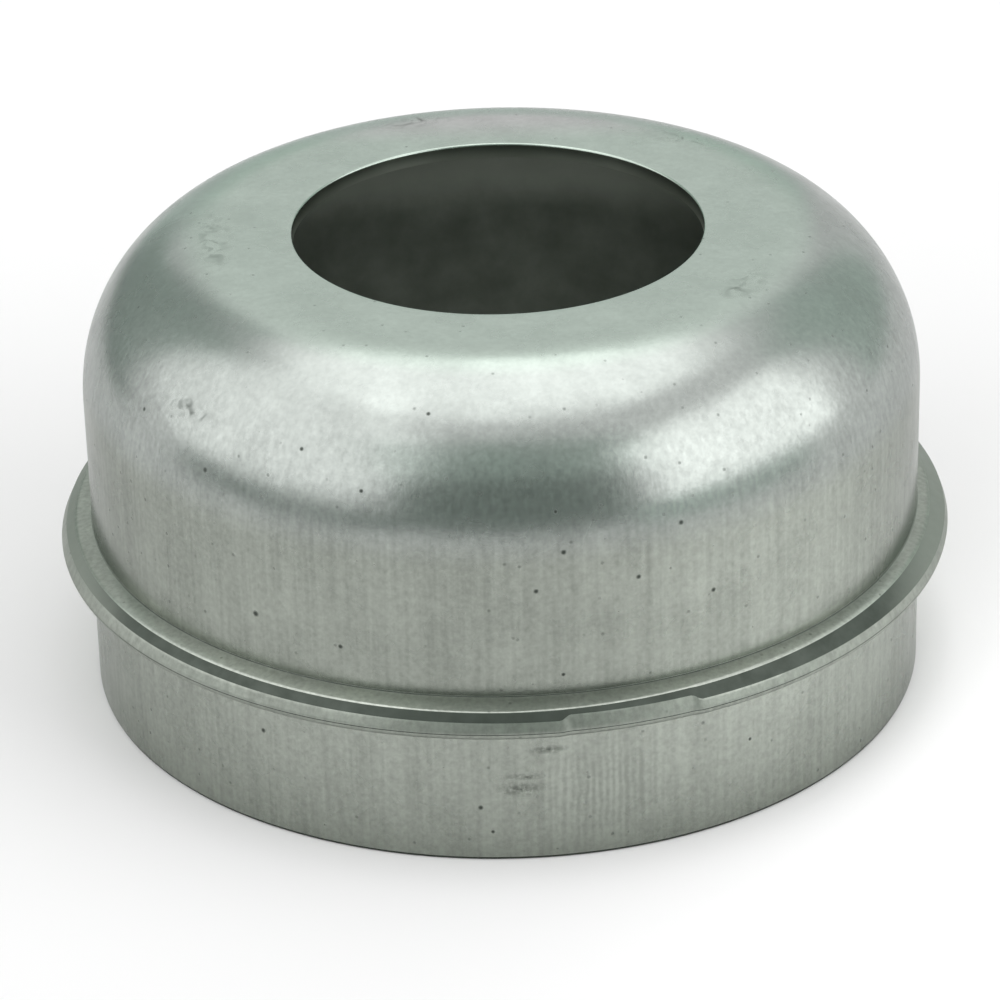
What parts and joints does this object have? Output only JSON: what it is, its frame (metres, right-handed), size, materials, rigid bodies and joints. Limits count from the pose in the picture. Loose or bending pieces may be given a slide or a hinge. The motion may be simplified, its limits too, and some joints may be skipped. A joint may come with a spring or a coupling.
{
  "type": "hub grease cap",
  "caption": "Drawn sheet-steel hub grease cap: open skirt that drives into the hub, folded stop flange, round shoulder and a flat crown with a central plug hole.",
  "frame": {"origin": "centre of the open rim, on the plane that the cap stands on", "axes": "+Z along the axis of the shell, from the open rim towards the crown; X and Y are free, because the cap is round"},
  "size_m": [0.0538, 0.0538, 0.0282],
  "materials": {
    "zinc_steel": "satin zinc plate over drawn steel, faintly green, with fine draw lines up the walls"
  },
  "bodies": {
    "root": {"cap": "zinc_steel"}
  },
  "joints": []
}
